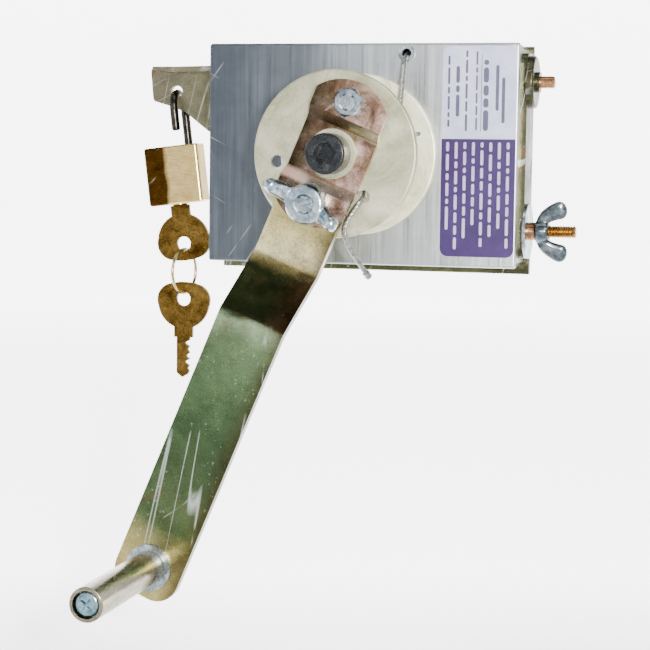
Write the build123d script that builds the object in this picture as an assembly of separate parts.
from build123d import *
import math
import os

# Hand-crank cable winch with a padlock tab. Millimetres, +Z up, the front faces -Y.
# The origin is on the back plate's rear face, at the middle of the housing.

# ---- driving dimensions ----
PLATE_T = 3.0
HOUSING_W = 157.0
HOUSING_H = 109.0
HOUSING_DEPTH = 25.0
SHEET_T = 1.6
CORNER_RELIEF = 2.4
MOUNT_X = 50.0
MOUNT_Z = 36.0
MOUNT_HOLE_R = 3.5
LABEL_T = 0.2
LABEL_X = 59.3
LABEL_Z = 1.8
LABEL_W = 36.5
LABEL_H = 102.0

FLANGE_R = 39.5
FLANGE_T = 3.0
REAR_FLANGE_BACK = 2.0
FRONT_FLANGE_FACE = 49.0
HUB_R = 14.0
HUB_PIN_R = 1.5
HUB_PIN_CIRCLE = 10.2
ROPE_HOLES = ((-28.2, -3.8), (14.5, -19.8))
ROPE_HOLE_R = 3.0
WINDING_R = 21.4
ROPE_R = 1.2
LINE_X = 23.0
GROMMET_Z = 49.4
GROMMET_R = 3.2
GROMMET_BORE_R = 2.3
GROMMET_LIP_R = 4.2
LINE_STOP_R = 2.4
LINE_STOP_LENGTH = 6.0
FERRULE_R = 1.7
FERRULE_LENGTH = 3.2

AXLE_R = 6.35
AXLE_HEAD_R = 9.5
AXLE_HEAD_H = 12.7
AXLE_WASHER_T = 2.0
AXLE_END = -19.0
RUN_FIT = 0.05
BUSHING_R = 8.0
BEARING_PLATE_T = 3.0
BEARING_RIVET_R = 2.0
BEARING_RIVET_CIRCLE = 24.0

CRANK_ANGLE = 22.7
BAR_W = 33.0
BAR_T = 5.0
JOGGLE = 18.0
JOGGLE_START = 57.0
JOGGLE_END = 86.0
GRIP_DISTANCE = 214.4
BAR_END = 229.0
BRACKET_W = 36.0
BRACKET_T = 3.5
BRACKET_END = 35.5
RECESS_HALF = 17.5
BRACKET_RUN = 5.0
STUD_DISTANCE = 25.5
STUD_R = 3.95
STUD_PITCH = 1.41
CRANK_WASHER_T = 1.4
CRANK_WASHER_R = 10.0

GRIP_R = 8.0
GRIP_BORE_R = 6.3
GRIP_LENGTH = 76.0
SPINDLE_R = 3.97

BOLT_Y = -15.0
UPPER_BOLT_Z = 36.0
UPPER_BOLT_R = 2.95
UPPER_HOLE_R = 3.1
LOWER_BOLT_Z = -36.5
LOWER_BOLT_R = 3.17
LOWER_HOLE_R = 3.4
LOWER_PITCH = 1.27
BOLT_HEAD_H = 4.4
SIDE_COLLAR_FACE = 4.8

TAB_HOLE_X = -105.0
TAB_HOLE_Z = 31.2
TAB_HOLE_R = 3.2
SHACKLE_R = 2.15
LEG_HALF = 8.5
LEG_IN_BODY = 12.0
FRONT_LEG_DROP = 19.5
PADLOCK_TILT = -7.0
PADLOCK_W = 30.0
PADLOCK_T = 13.0
PADLOCK_H = 30.5
PADLOCK_TOP = -26.5
PLUG_R = 4.8
PLUG_H = 14.0
KEY_T = 1.8
KEY_HEAD_W = 28.0
KEY_HOLE_R = 3.8
KEY_HOLE_DROP = 21.2
KEY_SHOULDER_W = 10.4
KEY_NECK = 15.0
KEY_BLADE_W = 7.4
KEY_BLADE_L = 21.5
KEY_INSERTED = 13.0
NOTCH_PITCH = 3.4
RING_R = 11.7
RING_WIRE_R = 0.8
RING_YAW = -12.0

FRONT_OF_WALL = PLATE_T + HOUSING_DEPTH
HALF_W = HOUSING_W / 2
HALF_H = HOUSING_H / 2
FLANGE_X = HALF_W + PLATE_T
SIN = math.sin(math.radians(CRANK_ANGLE))
COS = math.cos(math.radians(CRANK_ANGLE))


# ---- helpers ----
def save(node, shape):
    solids = shape.solids()
    result = solids[0] if len(solids) == 1 else Compound(children=list(solids))
    result.label = node
    export_step(result, "parts/" + node + ".step")


def face_y(depth):
    """Y of a plane that many millimetres in front of the housing's face."""
    return -FRONT_OF_WALL - depth


def along_y(radius, depth0, depth1, x=0.0, z=0.0):
    """A cylinder along Y between two depths in front of the housing's face."""
    length = depth1 - depth0
    middle = face_y((depth0 + depth1) / 2)
    return Pos(x, middle, z) * Rot(90, 0, 0) * Cylinder(radius, length)


def along_x(radius, x0, x1, y, z):
    return Pos((x0 + x1) / 2, y, z) * Rot(0, 90, 0) * Cylinder(radius, x1 - x0)


def along_z(radius, z0, z1, x, y):
    return Pos(x, y, (z0 + z1) / 2) * Cylinder(radius, z1 - z0)


def box(x0, x1, y0, y1, z0, z1):
    return Pos((x0 + x1) / 2, (y0 + y1) / 2, (z0 + z1) / 2) * Box(x1 - x0, y1 - y0, z1 - z0)


def hexagon_along_y(flats, depth0, depth1, x, z, turn=0.0):
    sketch = Rot(90, 0, 0) * Rot(0, 0, turn) * RegularPolygon(flats / 2, 6, major_radius=False)
    solid = extrude(sketch, depth1 - depth0)
    return Pos(x, face_y(depth0), z) * solid


def on_crank(along, across=0.0):
    """X and Z of a point on the crank's centre line, and the distance to its right."""
    return (-SIN * along + COS * across, -COS * along - SIN * across)


def crank_frame(solid):
    """Turn a solid drawn with the crank pointing down -Z to the crank's angle."""
    return Rot(0, CRANK_ANGLE, 0) * solid


def threaded_rod(radius, length, pitch, chamfer_len=0.8):
    """A rod along +Z from 0, with ring grooves at the thread's pitch."""
    depth = 0.54 * pitch
    points = [(0, 0), (radius, 0)]
    z = pitch
    while z + pitch < length - chamfer_len:
        points.append((radius, z))
        points.append((radius - depth, z + 0.5 * pitch))
        z += pitch
    points.append((radius, length - chamfer_len))
    points.append((radius - chamfer_len, length))
    points.append((0, length))
    profile = Polyline(*[(r, 0, h) for r, h in points], close=True)
    return revolve(make_face(profile), Axis.Z)


def wing_profile(sign, hub_r, tip_r, low, high):
    """The outline of one wing, in the plane of the nut's axis."""
    inner = sign * (hub_r - 2.0)
    tip = sign * tip_r
    lines = [
        Line((inner, 0.8), (sign * (hub_r + 1.5), 1.6)),
        ThreePointArc((sign * (hub_r + 1.5), 1.6), (sign * (hub_r + 4.2), low - 1.2), (tip, low + 1.5)),
        ThreePointArc((tip, low + 1.5), (sign * (tip_r + 0.6), high - 1.0), (tip - sign * 2.5, high)),
        ThreePointArc(
            (tip - sign * 2.5, high),
            (sign * (hub_r + 2.2), low + 2.6),
            (sign * (hub_r - 0.6), low - 1.0),
        ),
        Line((sign * (hub_r - 0.6), low - 1.0), (inner, 0.8)),
    ]
    return make_face(Curve() + lines)


def wing_nut(bore_r, hub_r, hub_h, tip_r, low, high, wing_t):
    """A wing nut standing on Z = 0 with its axis along +Z and its wings along X."""
    hub = Pos(0, 0, hub_h / 2) * Cone(hub_r, hub_r * 0.72, hub_h)
    nut = hub
    for sign in (-1, 1):
        wing = extrude(Rot(90, 0, 0) * wing_profile(sign, hub_r, tip_r, low, high), wing_t / 2, both=True)
        nut = nut + wing
    return nut - Pos(0, 0, hub_h / 2) * Cylinder(bore_r, hub_h + 2)


# ---- fixed frame ----
def back_plate():
    bottom = -HALF_H - 4.0
    plate = box(-HALF_W, HALF_W + 3.0, -PLATE_T, 0, bottom, HALF_H - 0.5)
    tab_outline = Polyline(
        (-HALF_W, 45.0), (-119.5, 44.0), (-118.0, 26.5), (-109.0, 24.0),
        (-100.5, 21.0), (-87.5, 11.0), (-HALF_W, 8.0), close=True,
    )
    tab_face = make_face(tab_outline)
    corners = [v for v in tab_face.vertices() if v.X < -HALF_W - 1]
    tab_face = fillet(corners, 2.6)
    tab = extrude(Rot(90, 0, 0) * tab_face, PLATE_T)
    lip = box(-116.0, -81.5, -PLATE_T - 7.0, -PLATE_T, 41.4, 44.0)
    flange = box(HALF_W, HALF_W + 3.0, -22.0, -PLATE_T, -50.0, 50.0)
    flange = fillet(flange.edges().filter_by(Axis.X).group_by(Axis.Y)[0], 5.0)
    body = plate + tab + lip + flange
    for x in (-MOUNT_X, MOUNT_X):
        for z in (-MOUNT_Z, MOUNT_Z):
            body = body - Pos(x, -PLATE_T / 2, z) * Rot(90, 0, 0) * Cylinder(MOUNT_HOLE_R, 10)
    body = body - Pos(TAB_HOLE_X, -PLATE_T / 2, TAB_HOLE_Z) * Rot(90, 0, 0) * Cylinder(TAB_HOLE_R, 10)
    body = body - along_x(UPPER_HOLE_R, HALF_W - 2, HALF_W + 5, BOLT_Y, UPPER_BOLT_Z)
    body = body - along_x(LOWER_HOLE_R, HALF_W - 2, HALF_W + 5, BOLT_Y, LOWER_BOLT_Z)
    save("back_plate", body)


def housing():
    front = face_y(0)
    shell = box(-HALF_W, HALF_W, front, -PLATE_T, -HALF_H, HALF_H)
    shell = fillet(shell.edges().filter_by(Axis.X).group_by(Axis.Y)[0], 1.4)
    shell = fillet(shell.edges().filter_by(Axis.Z).group_by(Axis.Y)[0], 1.0)
    inside_x = HALF_W - SHEET_T
    inside_z = HALF_H - SHEET_T
    shell = shell - box(-inside_x, inside_x, front + SHEET_T, 1.0, -inside_z, inside_z)
    for sx in (-1, 1):
        for sz in (-1, 1):
            x0, x1 = sorted((sx * (HALF_W - CORNER_RELIEF), sx * (HALF_W + 1)))
            z0, z1 = sorted((sz * (HALF_H - CORNER_RELIEF), sz * (HALF_H + 1)))
            shell = shell - box(x0, x1, front + SHEET_T + 0.4, 1.0, z0, z1)
    shell = shell - along_y(BUSHING_R + 0.05, -5, 5)
    shell = shell - along_x(UPPER_HOLE_R, HALF_W - 4, HALF_W + 4, BOLT_Y, UPPER_BOLT_Z)
    shell = shell - along_x(LOWER_HOLE_R, HALF_W - 4, HALF_W + 4, BOLT_Y, LOWER_BOLT_Z)
    shell = shell - along_y(GROMMET_R + 0.02, -5, 5, LINE_X, GROMMET_Z)
    for x, z in bearing_rivet_places():
        shell = shell - along_y(BEARING_RIVET_R, -5, 5, x, z)
    save("housing", shell)


def label():
    outline = RectangleRounded(LABEL_W, LABEL_H, 4.0)
    sheet = extrude(Rot(90, 0, 0) * outline, LABEL_T)
    save("label", Pos(LABEL_X, face_y(0), LABEL_Z) * sheet)


def bolt_head(flats, z):
    """A hexagon head inside the housing's right wall."""
    middle = HALF_W - SHEET_T - BOLT_HEAD_H / 2
    hexagon = RegularPolygon(flats / 2, 6, major_radius=False)
    return Pos(middle, BOLT_Y, z) * Rot(0, 90, 0) * extrude(hexagon, BOLT_HEAD_H / 2, both=True)


def clamp_bolts():
    inner = HALF_W - SHEET_T
    shank = along_x(UPPER_BOLT_R, inner - 0.5, 94.0, BOLT_Y, UPPER_BOLT_Z)
    shank = chamfer(shank.edges().filter_by(GeomType.CIRCLE).sort_by(Axis.X)[-1], 0.6)
    save("upper_clamp_bolt", bolt_head(11.0, UPPER_BOLT_Z) + shank)

    disc = along_x(12.8, FLANGE_X, FLANGE_X + 3.6, BOLT_Y, UPPER_BOLT_Z)
    disc = fillet(disc.edges().filter_by(GeomType.CIRCLE).sort_by(Axis.X)[-1], 1.1)
    collar = along_x(5.0, FLANGE_X + 3.0, FLANGE_X + 5.4, BOLT_Y, UPPER_BOLT_Z)
    bore = along_x(UPPER_BOLT_R + RUN_FIT, FLANGE_X - 5, FLANGE_X + 10, BOLT_Y, UPPER_BOLT_Z)
    save("round_nut", disc + collar - bore)

    rod = threaded_rod(LOWER_BOLT_R, 106.0 - inner, LOWER_PITCH)
    rod = Pos(inner, BOLT_Y, LOWER_BOLT_Z) * Rot(0, 90, 0) * rod
    save("lower_clamp_bolt", bolt_head(11.2, LOWER_BOLT_Z) + rod)


def side_clamp():
    """The washer, collar and wing nut that run out along the lower clamp bolt."""
    bore = along_x(LOWER_BOLT_R + 0.13, FLANGE_X - 1, FLANGE_X + 9, BOLT_Y, LOWER_BOLT_Z)
    washer = along_x(13.6, FLANGE_X, FLANGE_X + 1.5, BOLT_Y, LOWER_BOLT_Z)
    save("side_washer", washer - bore)
    collar = along_x(4.35, FLANGE_X + 1.5, FLANGE_X + SIDE_COLLAR_FACE, BOLT_Y, LOWER_BOLT_Z)
    collar = chamfer(collar.edges().filter_by(GeomType.CIRCLE).sort_by(Axis.X)[-1], 0.4)
    save("side_collar", collar - bore)
    nut = wing_nut(LOWER_BOLT_R + RUN_FIT, 5.4, 6.4, 14.6, 8.2, 17.2, 3.4)
    placed = Pos(FLANGE_X + SIDE_COLLAR_FACE, BOLT_Y, LOWER_BOLT_Z) * Rot(0, 90, 0) * Rot(0, 0, 8) * nut
    save("side_wing_nut", placed)


# ---- bearing in the housing ----
def bearing_rivet_places():
    places = []
    for k in range(4):
        angle = math.radians(45 + 90 * k)
        places.append((BEARING_RIVET_CIRCLE * math.cos(angle), BEARING_RIVET_CIRCLE * math.sin(angle)))
    return places


def bearing():
    back = -SHEET_T - BEARING_PLATE_T
    plate = along_y(31.0, back, -SHEET_T) - along_y(BUSHING_R + 0.05, back - 1, 0)
    for x, z in bearing_rivet_places():
        plate = plate - along_y(BEARING_RIVET_R, back - 1, 0, x, z)
    save("bearing_plate", plate)

    rivets = []
    for x, z in bearing_rivet_places():
        shank = along_y(BEARING_RIVET_R, back - 1.2, 0.9, x, z)
        rivets.append(shank + along_y(3.4, 0, 0.9, x, z) + along_y(3.4, back - 1.2, back, x, z))
    save("bearing_rivets", Compound(children=rivets))

    bushing = along_y(BUSHING_R, back, 0.5) + along_y(13.0, 0, REAR_FLANGE_BACK - 0.1)
    save("axle_bushing", bushing - along_y(AXLE_R + RUN_FIT, back - 1, 3))


# ---- drum ----
def hub_pin_places():
    places = []
    for k in range(3):
        angle = math.radians(CRANK_ANGLE + 30 + 120 * k)
        places.append((HUB_PIN_CIRCLE * math.cos(angle), HUB_PIN_CIRCLE * math.sin(angle)))
    return places


def drum():
    rear0 = REAR_FLANGE_BACK
    rear1 = rear0 + FLANGE_T
    front0 = FRONT_FLANGE_FACE - FLANGE_T
    rear = along_y(FLANGE_R, rear0, rear1)
    rear = fillet(rear.edges().filter_by(GeomType.CIRCLE), 1.2)
    rear = rear - along_y(AXLE_R, rear0 - 1, rear1 + 1)
    slot = Pos(28.5, face_y(rear1 - 1), 9.6) * Rot(0, -18, 0) * Rot(90, 0, 0) * extrude(
        SlotOverall(6.4, 2.0), 3, both=True)
    rear = rear - slot
    front = along_y(FLANGE_R, front0, FRONT_FLANGE_FACE)
    front = fillet(front.edges().filter_by(GeomType.CIRCLE), 1.2)
    front = front - along_y(AXLE_R, front0 - 1, FRONT_FLANGE_FACE + 1)
    for x, z in ROPE_HOLES:
        front = front - along_y(ROPE_HOLE_R, front0 - 1, FRONT_FLANGE_FACE + 1, x, z)
    hub = along_y(HUB_R, rear1, front0) - along_y(AXLE_R, rear1 - 1, front0 + 1)
    for x, z in hub_pin_places():
        hole = along_y(HUB_PIN_R, rear0 - 1, FRONT_FLANGE_FACE + 1, x, z)
        rear = rear - hole
        front = front - hole
        hub = hub - hole
    for side in (-1, 1):
        x, z = on_crank(side * STUD_DISTANCE)
        front = front - along_y(STUD_R, front0 - 1, FRONT_FLANGE_FACE + 1, x, z)
    save("rear_flange", rear)
    save("front_flange", front)
    save("drum_hub", hub)
    pins = [along_y(HUB_PIN_R, rear0, FRONT_FLANGE_FACE, x, z) for x, z in hub_pin_places()]
    save("drum_pins", Compound(children=pins))


def axle():
    """The long socket-head cap screw that is the drum's axle, and what holds it in the housing."""
    seat = FRONT_FLANGE_FACE + BRACKET_T + AXLE_WASHER_T
    top = seat + AXLE_HEAD_H
    head = along_y(AXLE_HEAD_R, seat, top)
    head = fillet(head.edges().filter_by(GeomType.CIRCLE).sort_by(Axis.Y)[0], 1.1)
    head = head - hexagon_along_y(9.53, top - 6.4, top + 1, 0, 0, 12)
    save("axle_screw", head + along_y(AXLE_R, AXLE_END, seat))
    washer = along_y(11.8, seat - AXLE_WASHER_T, seat) - along_y(AXLE_R, seat - 4, seat + 1)
    washer = fillet(washer.edges().filter_by(GeomType.CIRCLE).group_by(SortBy.RADIUS)[-1], 0.5)
    save("axle_washer", washer)

    back = -SHEET_T - BEARING_PLATE_T
    friction = along_y(15.0, back - 1.6, back - 0.1) - along_y(AXLE_R, back - 3, back + 1)
    save("friction_washer", friction)
    springs = []
    for k in range(2):
        start = back - 2.9 - 1.3 * k
        ring = along_y(13.0 - 1.5 * k, start, start + 1.2) - along_y(AXLE_R, start - 1, start + 2)
        springs.append(ring)
    save("disc_springs", Compound(children=springs))
    nut_face = back - 4.3
    nut = hexagon_along_y(19.05, nut_face - 8.5, nut_face, 0, 0)
    save("axle_lock_nut", nut - along_y(AXLE_R, nut_face - 10, nut_face + 1))


# ---- crank bracket and its bolts ----
def bracket_outline_top():
    """The strap seen from the front, pointing down -Z, with round-cornered ends."""
    half = BRACKET_W / 2
    end = BRACKET_END
    shoulder = end - 9.0
    lines = [
        Line((half, -shoulder), (half, shoulder)),
        ThreePointArc((half, shoulder), (0, end), (-half, shoulder)),
        Line((-half, shoulder), (-half, -shoulder)),
        ThreePointArc((-half, -shoulder), (0, -end), (half, -shoulder)),
    ]
    return make_face(Curve() + lines)


def crank_bracket():
    low = FRONT_FLANGE_FACE
    high = low + BAR_T
    inner = RECESS_HALF - BRACKET_RUN
    lower_edge = [
        (-BRACKET_END, high), (-RECESS_HALF, high), (-inner, low),
        (inner, low), (RECESS_HALF, high), (BRACKET_END, high),
    ]
    upper_edge = [(z, d + BRACKET_T) for z, d in reversed(lower_edge)]
    profile = Polyline(*[(0, face_y(d), z) for z, d in lower_edge + upper_edge], close=True)
    strip = extrude(make_face(profile), BRACKET_W, both=True, dir=(1, 0, 0))
    outline = extrude(Rot(90, 0, 0) * bracket_outline_top(), 200, both=True)
    strap = strip & outline
    strap = crank_frame(strap)
    strap = strap - along_y(AXLE_R, low - 1, low + 10)
    for side in (-1, 1):
        x, z = on_crank(side * STUD_DISTANCE)
        strap = strap - along_y(STUD_R, low - 1, high + 10, x, z)
    save("crank_bracket", strap)


def bracket_bolts():
    back = FRONT_FLANGE_FACE - FLANGE_T
    pad = FRONT_FLANGE_FACE + BAR_T + BRACKET_T
    x, z = on_crank(-STUD_DISTANCE)
    tip = pad + 8.2
    upper = along_y(STUD_R, back - 1, pad + 6.0, x, z) + along_y(7.6, back - 3.6, back, x, z)
    end = Pos(x, face_y(pad + 4.0), z) * Rot(90, 0, 0) * threaded_rod(STUD_R, tip - pad - 4.0, STUD_PITCH)
    save("bracket_bolt", upper + end)
    spacer = along_y(7.0, FRONT_FLANGE_FACE, FRONT_FLANGE_FACE + BAR_T, x, z)
    save("bracket_spacer", spacer - along_y(STUD_R, back, pad + 1, x, z))
    nut = hexagon_along_y(12.7, pad, pad + 6.7, x, z, 8)
    dome = Pos(x, face_y(pad + 6.7), z) * Rot(90, 0, 0) * Pos(0, 0, -8) * Cone(16.0, 5.9, 16.0)
    nut = nut & (dome + along_y(30, pad - 1, pad + 5.2, x, z))
    save("hex_nut", nut - along_y(STUD_R, pad - 1, pad + 9, x, z))

    x, z = on_crank(STUD_DISTANCE)
    base = along_y(STUD_R, back - 1, pad + 0.2, x, z) + along_y(7.6, back - 3.6, back, x, z)
    rod = Pos(x, face_y(pad + 0.2), z) * Rot(90, 0, 0) * threaded_rod(STUD_R, 11.6, STUD_PITCH)
    save("crank_stud", base + rod)
    washer = along_y(CRANK_WASHER_R, pad, pad + CRANK_WASHER_T, x, z) - along_y(STUD_R + 0.3, pad - 1, pad + 3, x, z)
    save("crank_washer", washer)
    nut = wing_nut(STUD_R + RUN_FIT, 8.0, 8.0, 18.2, 9.8, 16.4, 4.4)
    placed = Pos(x, face_y(pad + CRANK_WASHER_T), z) * Rot(90, 0, 0) * Rot(0, 0, -CRANK_ANGLE - 8) * nut
    save("crank_wing_nut", placed)


# ---- crank arm and grip ----
def crank_arm():
    low = FRONT_FLANGE_FACE
    high = low + JOGGLE
    start = RECESS_HALF + 1.0
    centre = [
        (start, low), (JOGGLE_START, low), (JOGGLE_END, high), (BAR_END, high),
        (BAR_END, high + BAR_T), (JOGGLE_END - 1.5, high + BAR_T),
        (JOGGLE_START - 1.5, low + BAR_T), (start, low + BAR_T),
    ]
    profile = Polyline(*[(0, face_y(d), -s) for s, d in centre], close=True)
    face = make_face(profile)
    bar = extrude(face, BAR_W / 2, both=True, dir=(1, 0, 0))
    bends = [e for e in bar.edges().filter_by(Axis.X)
             if -JOGGLE_END - 2 < e.center().Z < -JOGGLE_START + 4]
    bar = fillet(bends, 4.0)
    tip = [e for e in bar.edges().filter_by(Axis.Y) if e.center().Z < -BAR_END + 1]
    bar = fillet(tip, 11.0)
    bar = crank_frame(bar)
    x, z = on_crank(STUD_DISTANCE)
    bar = bar - along_y(STUD_R, low - 1, low + 10, x, z)
    x, z = on_crank(GRIP_DISTANCE)
    bar = bar - along_y(SPINDLE_R, high - 1, high + 10, x, z)
    save("crank_arm", bar)


def grip():
    x, z = on_crank(GRIP_DISTANCE)
    arm_back = FRONT_FLANGE_FACE + JOGGLE
    arm_front = arm_back + BAR_T
    washer = along_y(11.2, arm_front, arm_front + 1.6, x, z)
    save("grip_washer", washer - along_y(SPINDLE_R, arm_front - 1, arm_front + 3, x, z))
    base = arm_front + 1.7
    tip = base + GRIP_LENGTH
    tube = along_y(GRIP_R, base, tip, x, z)
    tube = fillet(tube.edges().filter_by(GeomType.CIRCLE), 0.6)
    save("grip_tube", tube - along_y(GRIP_BORE_R, base - 1, tip + 1, x, z))
    bushes = []
    for start in (base + 0.4, tip - 13.0):
        ring = along_y(GRIP_BORE_R, start, start + 8.0, x, z)
        bushes.append(ring - along_y(SPINDLE_R + RUN_FIT, start - 1, start + 9, x, z))
    save("grip_bushings", Compound(children=bushes))

    seat = tip - 4.8
    head = along_y(5.9, seat, tip - 0.6, x, z)
    head = fillet(head.edges().filter_by(GeomType.CIRCLE).sort_by(Axis.Y)[0], 1.8)
    for turn in (40, 130):
        slot = Pos(x, face_y(tip), z) * Rot(0, turn, 0) * Box(6.4, 4.6, 1.2)
        head = head - slot
    save("grip_screw", head + along_y(SPINDLE_R, arm_back - 8.0, seat, x, z))
    nut = hexagon_along_y(12.7, arm_back - 6.7, arm_back, x, z)
    save("grip_nut", nut - along_y(SPINDLE_R, arm_back - 9, arm_back + 1, x, z))


# ---- wire rope ----
LINE_START = (LINE_X, face_y(20.0), 0.0)
LINE_BEND = (LINE_X, face_y(4.4), 48.6)
LINE_END = (LINE_X, face_y(-11.0), 49.9)
TAIL_ROUTE = [
    (12.8, face_y(FRONT_FLANGE_FACE - 8.6), -17.4),
    (14.2, face_y(FRONT_FLANGE_FACE - 3.5), -19.4),
    (13.6, face_y(FRONT_FLANGE_FACE + 2.6), -22.0),
    (8.6, face_y(FRONT_FLANGE_FACE + 2.6), -28.5),
    (4.9, face_y(FRONT_FLANGE_FACE + 2.3), -36.0),
    (8.6, face_y(FRONT_FLANGE_FACE - 2.5), -47.0),
    (13.6, face_y(FRONT_FLANGE_FACE - 9.6), -55.8),
]


def rope_tube(route, radius):
    """A tube along straight runs joined by tangent arcs, each as large as its runs allow."""
    points = [Vector(*p) for p in route]
    radii = []
    for before, corner, after in zip(points, points[1:], points[2:]):
        run_in = corner - before
        run_out = after - corner
        half_turn = math.radians(run_in.get_angle(run_out)) / 2
        shorter = min(run_in.length, run_out.length)
        radii.append(0.45 * shorter / math.tan(half_turn))
    print("rope arc radii:", [round(r, 1) for r in radii])
    path = FilletPolyline(*points, radius=radii)
    start = Plane(origin=path @ 0, z_dir=path % 0)
    tube = sweep(start * Circle(radius), path=path)
    expected = math.pi * radius ** 2 * path.length
    print("rope length", round(path.length, 1), "volume ratio", round(tube.volume / expected, 4))
    return tube


def along_direction(radius, end, direction, back, forward):
    plane = Plane(origin=Vector(*end), z_dir=direction)
    return plane * Pos(0, 0, (forward - back) / 2) * Cylinder(radius, forward + back)


def rope():
    first = REAR_FLANGE_BACK + FLANGE_T + 0.3
    last = FRONT_FLANGE_FACE - FLANGE_T - 5.8
    turns = int((last - first) / (2 * ROPE_R))
    pitch = (last - first) / turns
    points = [(HUB_R, first)]
    for k in range(turns):
        d = first + k * pitch
        points.append((WINDING_R - 0.7, d))
        points.append((WINDING_R, d + pitch / 2))
    points.append((WINDING_R - 0.7, last))
    points.append((HUB_R, last))
    profile = Polyline(*[(r, face_y(d), 0) for r, d in points], close=True)
    windings = revolve(make_face(profile), Axis.Y)
    save("rope_windings", windings)

    save("rope_line", rope_tube([LINE_START, LINE_BEND, LINE_END], ROPE_R))
    direction = Vector(*LINE_END) - Vector(*LINE_BEND)
    stop = along_direction(LINE_STOP_R, LINE_END, direction, 0.0, LINE_STOP_LENGTH)
    save("rope_stop", stop)
    tail = rope_tube(TAIL_ROUTE, ROPE_R)
    save("rope_tail", tail)
    direction = Vector(*TAIL_ROUTE[-1]) - Vector(*TAIL_ROUTE[-2])
    save("tail_ferrule", along_direction(FERRULE_R, TAIL_ROUTE[-1], direction, 0.0, FERRULE_LENGTH))

    ring = along_y(GROMMET_R, -SHEET_T - 0.9, 0.9, LINE_X, GROMMET_Z)
    ring = ring + along_y(GROMMET_LIP_R, 0, 0.9, LINE_X, GROMMET_Z)
    ring = ring + along_y(3.4, -SHEET_T - 0.9, -SHEET_T, LINE_X, GROMMET_Z)
    save("rope_grommet", ring - along_y(GROMMET_BORE_R, -5, 3, LINE_X, GROMMET_Z))


# ---- padlock and keys ----
PIVOT = (TAB_HOLE_X, -PLATE_T / 2, TAB_HOLE_Z - TAB_HOLE_R + SHACKLE_R + 0.32)


def hang(solid):
    """Move a solid drawn with the pivot at the origin to the tab, tilted as it hangs."""
    return Pos(*PIVOT) * Rot(0, PADLOCK_TILT, 0) * solid


def hang_point(x, y, z):
    angle = math.radians(PADLOCK_TILT)
    return (
        PIVOT[0] + x * math.cos(angle) + z * math.sin(angle),
        PIVOT[1] + y,
        PIVOT[2] - x * math.sin(angle) + z * math.cos(angle),
    )


def padlock_shackle():
    front = (0, -LEG_HALF, -LEG_HALF)
    rear = (0, LEG_HALF, -LEG_HALF)
    path = Line((0, -LEG_HALF, -FRONT_LEG_DROP), front)
    path = path + ThreePointArc(front, (0, 0, 0), rear)
    path = path + Line(rear, (0, LEG_HALF, PADLOCK_TOP - LEG_IN_BODY))
    start = Plane(origin=(0, -LEG_HALF, -FRONT_LEG_DROP), z_dir=(0, 0, 1))
    rod = sweep(start * Circle(SHACKLE_R), path=path)
    low_tip = [e for e in rod.edges().filter_by(GeomType.CIRCLE)
               if abs(e.center().Z + FRONT_LEG_DROP) < 0.01]
    rod = fillet(low_tip, 1.0)
    save("padlock_shackle", hang(rod))


def padlock():
    """The body's wide face is toward -Y, and its long-leg hole is at the origin's right end."""
    centre_x = -LEG_HALF
    y = LEG_HALF
    z0 = PADLOCK_TOP - PADLOCK_H
    block = box(centre_x - PADLOCK_W / 2, centre_x + PADLOCK_W / 2, y - PADLOCK_T / 2, y + PADLOCK_T / 2,
                z0, PADLOCK_TOP)
    block = fillet(block.edges().filter_by(Axis.Z), 1.8)
    block = chamfer(block.edges().group_by(Axis.Z)[0] + block.edges().group_by(Axis.Z)[-1], 0.7)
    block = block - along_z(SHACKLE_R + 0.08, PADLOCK_TOP - LEG_IN_BODY - 2.0, PADLOCK_TOP + 1, 0, y)
    block = block - along_z(SHACKLE_R + 0.15, PADLOCK_TOP - 9.0, PADLOCK_TOP + 1, 2 * centre_x, y)
    block = block - along_z(PLUG_R + 0.05, z0 - 1, z0 + PLUG_H + 0.2, centre_x, y)
    slot_z = PADLOCK_TOP - 6.5
    slot = box(2 * centre_x, 0, y - 1.6, y + 1.6, slot_z - 1.6, slot_z + 1.6)
    block = block - slot
    save("padlock_body", hang(block))
    bolt = box(2 * centre_x + 3.4, -SHACKLE_R - 0.9, y - 1.5, y + 1.5, slot_z - 1.5, slot_z + 1.5)
    save("padlock_latch", hang(bolt))


def key_plug():
    z0 = PADLOCK_TOP - PADLOCK_H
    plug = along_z(PLUG_R, z0 - 0.3, z0 + PLUG_H, -LEG_HALF, LEG_HALF)
    keyway = box(-LEG_HALF - KEY_BLADE_W / 2 - 0.1, -LEG_HALF + KEY_BLADE_W / 2 + 0.1,
                 LEG_HALF - KEY_T / 2 - 0.1, LEG_HALF + KEY_T / 2 + 0.1, z0 - 1, z0 + PLUG_H - 1.0)
    save("padlock_plug", hang(plug - keyway))


def key_head():
    """A key's head with its hole at the origin, the blade along +Z, drawn in X and Z."""
    half = KEY_HEAD_W / 2
    neck = KEY_SHOULDER_W / 2
    lines = [
        Line((-neck, KEY_NECK), (neck, KEY_NECK)),
        ThreePointArc((neck, KEY_NECK), (half - 3.2, 11.0), (half, 4.2)),
        ThreePointArc((half, 4.2), (half - 0.6, -3.9), (half - 5.0, -7.6)),
        ThreePointArc((half - 5.0, -7.6), (0, -9.0), (-half + 5.0, -7.6)),
        ThreePointArc((-half + 5.0, -7.6), (-half + 0.6, -3.9), (-half, 4.2)),
        ThreePointArc((-half, 4.2), (-half + 3.2, 11.0), (-neck, KEY_NECK)),
    ]
    return make_face(Curve() + lines) - Circle(KEY_HOLE_R)


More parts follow.
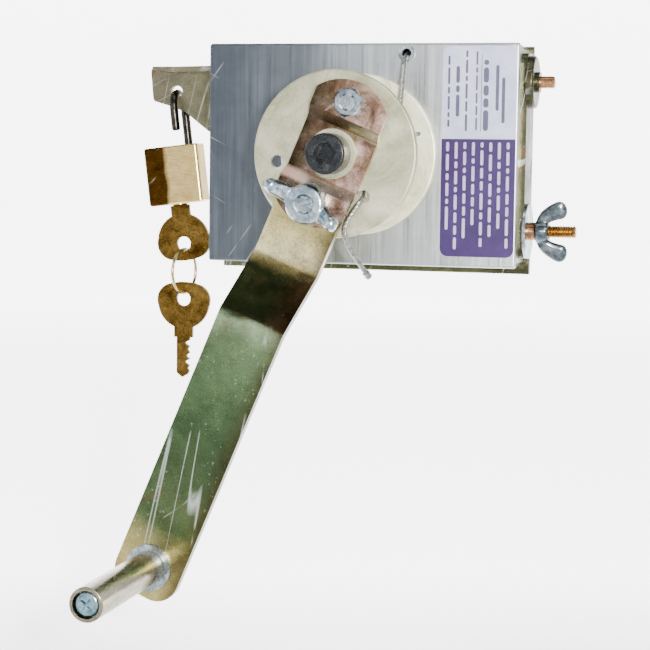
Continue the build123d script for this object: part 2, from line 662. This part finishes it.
def key_blade(length, start):
    """The blade's outline, with notches along its left edge and a pointed tip."""
    half = KEY_BLADE_W / 2
    points = [(half, start), (half, start + length - 2.5), (0.6, start + length)]
    points.append((-half + 1.2, start + length - 1.8))
    for k in range(int((length - 4.0) / NOTCH_PITCH)):
        z = start + length - 4.0 - NOTCH_PITCH * k
        bite = 1.1 + 0.7 * ((k * 2) % 3)
        points.append((-half + bite * 0.3, z + 0.6))
        points.append((-half + bite, z - 0.6))
        points.append((-half + bite, z - 1.2))
        points.append((-half + 0.2, z - 2.4))
    points.append((-half, start))
    return make_face(Polyline(*points, close=True))


def key_solid(blade_length):
    """A flat key: the head, a wide shoulder, and the blade out to its length past the shoulder."""
    shoulder_end = KEY_HOLE_DROP - 0.7
    height = shoulder_end - KEY_NECK + 0.2
    shoulder = Pos(0, shoulder_end - height / 2) * Rectangle(KEY_SHOULDER_W, height)
    face = key_head() + shoulder + key_blade(blade_length + 1.0, shoulder_end - 1.0)
    return extrude(Rot(90, 0, 0) * face, KEY_T / 2, both=True)


def keys():
    z0 = PADLOCK_TOP - PADLOCK_H
    hole_z = z0 - KEY_HOLE_DROP
    first = Pos(-LEG_HALF, LEG_HALF, hole_z) * key_solid(KEY_INSERTED)
    save("key_in_lock", hang(first))

    hole = hang_point(-LEG_HALF, LEG_HALF, hole_z)
    top = (hole[0], hole[1], hole[2] - KEY_HOLE_R + RING_WIRE_R + 0.08)
    ring_centre = (top[0], top[1], top[2] - RING_R)
    ring = Rot(0, 90, 0) * Torus(RING_R, RING_WIRE_R)
    save("key_ring", Pos(*ring_centre) * Rot(0, 0, RING_YAW) * ring)
    low = ring_centre[2] - RING_R
    second_z = low + RING_WIRE_R + 0.08 - KEY_HOLE_R
    second = Pos(ring_centre[0], ring_centre[1], second_z) * Rot(0, 180, 0) * key_solid(KEY_BLADE_L)
    save("spare_key", second)
    print("ring top", [round(v, 3) for v in top], "ring low z", round(low, 3))
    print("pivot", [round(v, 3) for v in PIVOT])
    print("leg axis point", [round(v, 3) for v in hang_point(0, LEG_HALF, -20)])
    print("plug axis point", [round(v, 3) for v in hang_point(-LEG_HALF, LEG_HALF, z0)])


def main():
    os.makedirs("parts", exist_ok=True)
    back_plate()
    housing()
    label()
    clamp_bolts()
    side_clamp()
    bearing()
    drum()
    axle()
    crank_bracket()
    bracket_bolts()
    crank_arm()
    grip()
    rope()
    padlock_shackle()
    padlock()
    key_plug()
    keys()


main()
